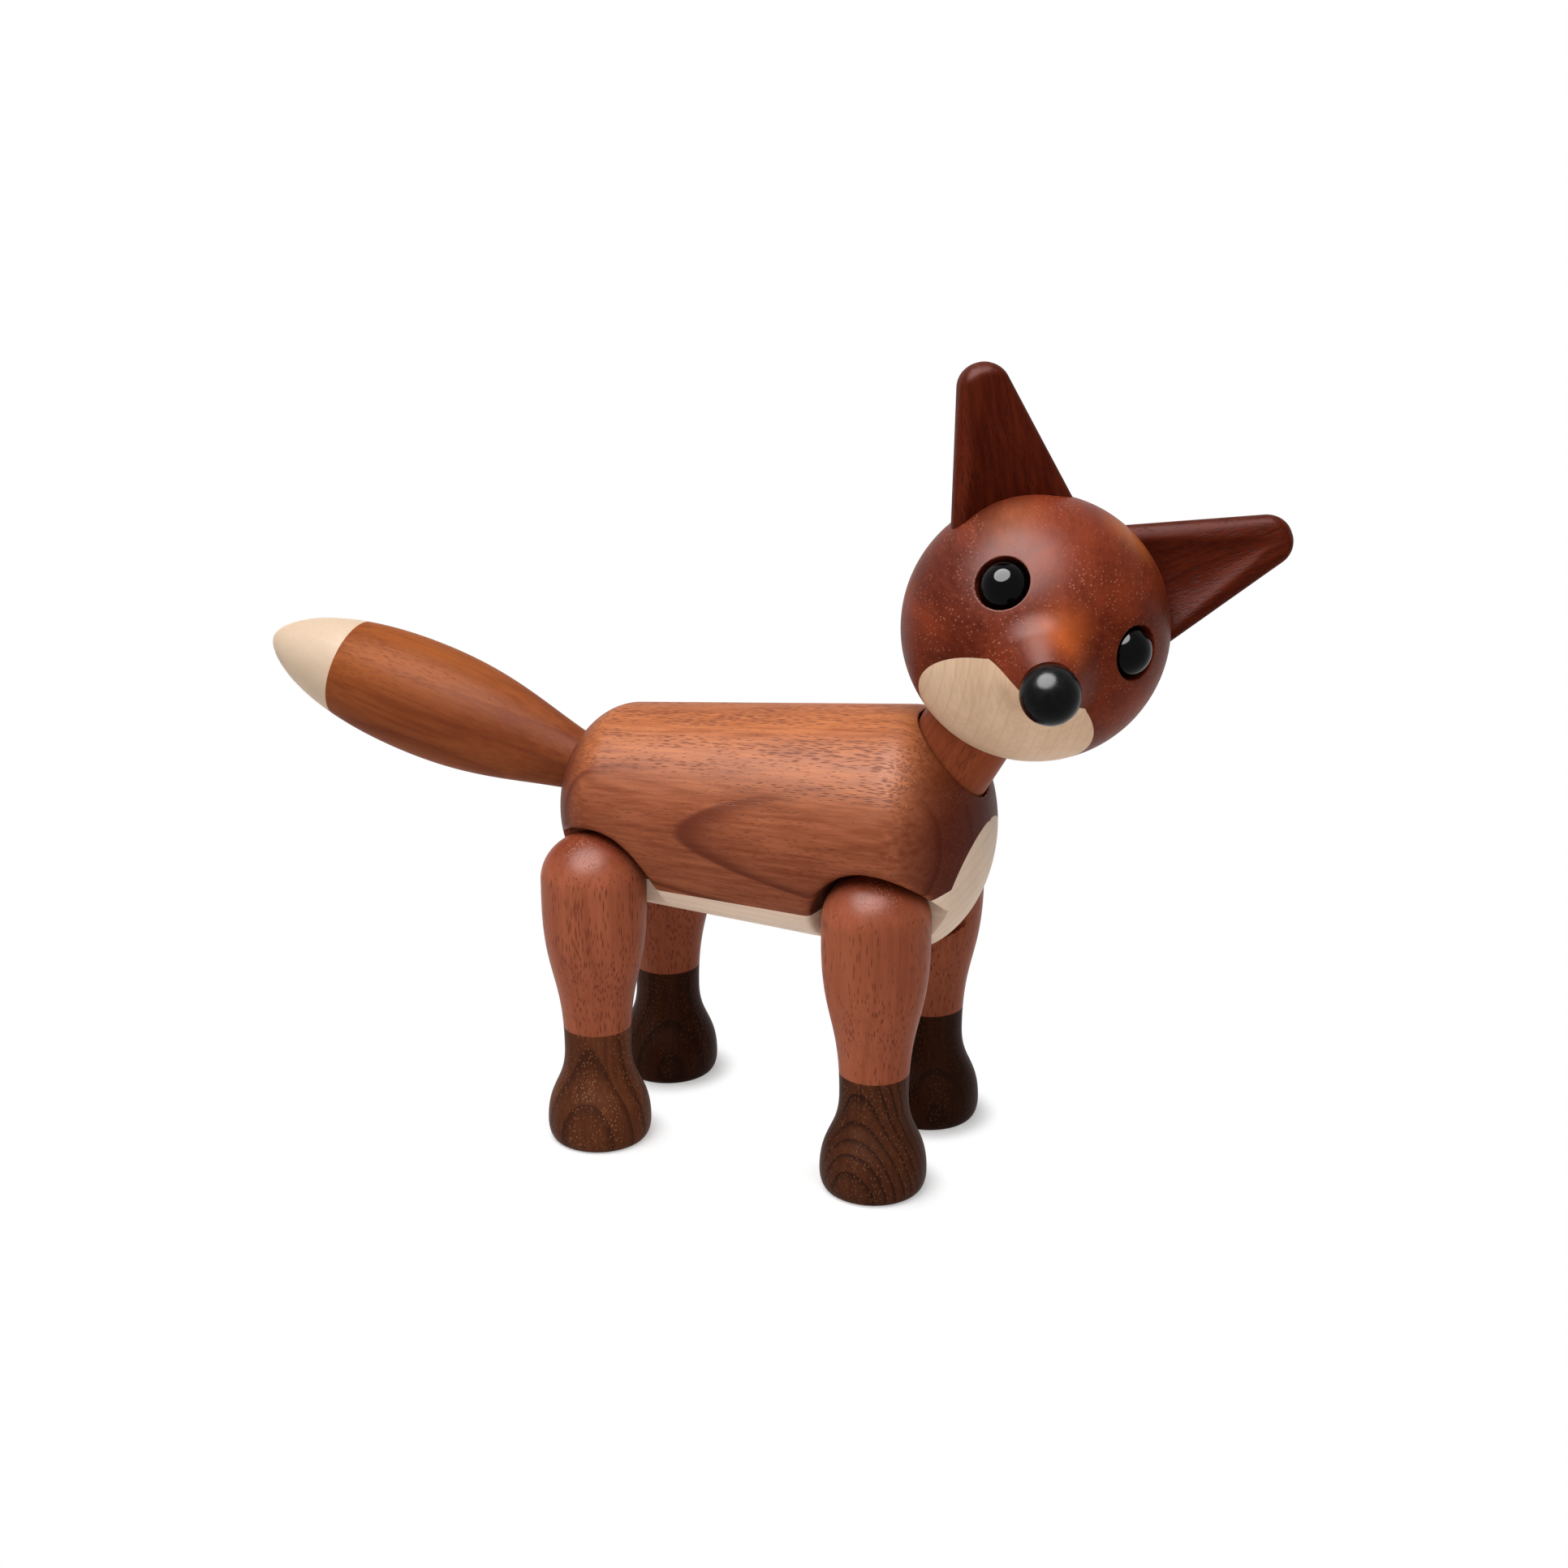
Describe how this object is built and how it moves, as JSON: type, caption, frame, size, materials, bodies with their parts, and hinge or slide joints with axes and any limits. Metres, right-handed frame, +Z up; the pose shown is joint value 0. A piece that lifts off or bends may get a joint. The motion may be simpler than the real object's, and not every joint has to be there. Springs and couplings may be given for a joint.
{
  "type": "fox figurine",
  "caption": "Standing turned-wood fox figurine with a head that turns on its slanted neck, swinging legs, pale belly and chin inlays, bead eyes and a pale-tipped tail.",
  "frame": {"origin": "on the ground, midway between the four feet", "axes": "+X forward along the body, towards the chest; +Y to the fox's left; +Z up"},
  "size_m": [0.1861, 0.0576, 0.1416],
  "materials": {
    "body_wood": "oiled satin, red-brown with fine dark pores",
    "leg_wood": "oiled satin, red-brown with fine dark pores",
    "head_wood": "oiled satin, red-brown with a fine pale speckle",
    "ear_wood": "oiled satin, darker red-brown",
    "maple": "oiled satin, pale cream",
    "walnut": "oiled satin, dark brown with wavy grain",
    "dowel_wood": "bare beech",
    "bead_black": "gloss black",
    "nose_black": "satin black paint",
    "steel": "plain"
  },
  "bodies": {
    "trunk": {"torso": "body_wood", "belly_inlay": "maple", "tail": "body_wood", "tail_tip": "maple", "tail_dowel": "dowel_wood", "tail_tip_dowel": "dowel_wood", "neck_washer": "steel", "hip_keeper_front_right": "steel", "hip_keeper_front_left": "steel", "hip_keeper_rear_right": "steel", "hip_keeper_rear_left": "steel"},
    "head_and_neck": {"neck": "body_wood", "neck_screw": "steel", "head": "head_wood", "chin_inlay": "maple", "nose": "nose_black", "eye_right": "bead_black", "eye_left": "bead_black", "ear_right": "ear_wood", "ear_left": "ear_wood", "ear_dowel_right": "dowel_wood", "ear_dowel_left": "dowel_wood"},
    "front_right_leg": {"leg_front_right": "leg_wood", "foot_front_right": "walnut", "ankle_dowel_front_right": "dowel_wood", "hip_dowel_front_right": "dowel_wood"},
    "front_left_leg": {"leg_front_left": "leg_wood", "foot_front_left": "walnut", "ankle_dowel_front_left": "dowel_wood", "hip_dowel_front_left": "dowel_wood"},
    "rear_right_leg": {"leg_rear_right": "leg_wood", "foot_rear_right": "walnut", "ankle_dowel_rear_right": "dowel_wood", "hip_dowel_rear_right": "dowel_wood"},
    "rear_left_leg": {"leg_rear_left": "leg_wood", "foot_rear_left": "walnut", "ankle_dowel_rear_left": "dowel_wood", "hip_dowel_rear_left": "dowel_wood"}
  },
  "joints": [
    {"name": "head_turn", "type": "hinge", "parent": "trunk", "child": "head_and_neck", "pos_m": [0.0479, 0, 0.0985], "axis": [0.5, 0, 0.866], "continuous": true},
    {"name": "front_right_hip", "type": "hinge", "parent": "trunk", "child": "front_right_leg", "pos_m": [0.0264, -0.0105, 0.053], "axis": [0, 1, 0], "range_deg": [-10, 10]},
    {"name": "front_left_hip", "type": "hinge", "parent": "trunk", "child": "front_left_leg", "pos_m": [0.0264, 0.0105, 0.053], "axis": [0, 1, 0], "range_deg": [-10, 10]},
    {"name": "rear_right_hip", "type": "hinge", "parent": "trunk", "child": "rear_right_leg", "pos_m": [-0.0264, -0.0105, 0.053], "axis": [0, 1, 0], "range_deg": [-10, 10]},
    {"name": "rear_left_hip", "type": "hinge", "parent": "trunk", "child": "rear_left_leg", "pos_m": [-0.0264, 0.0105, 0.053], "axis": [0, 1, 0], "range_deg": [-10, 10]}
  ]
}
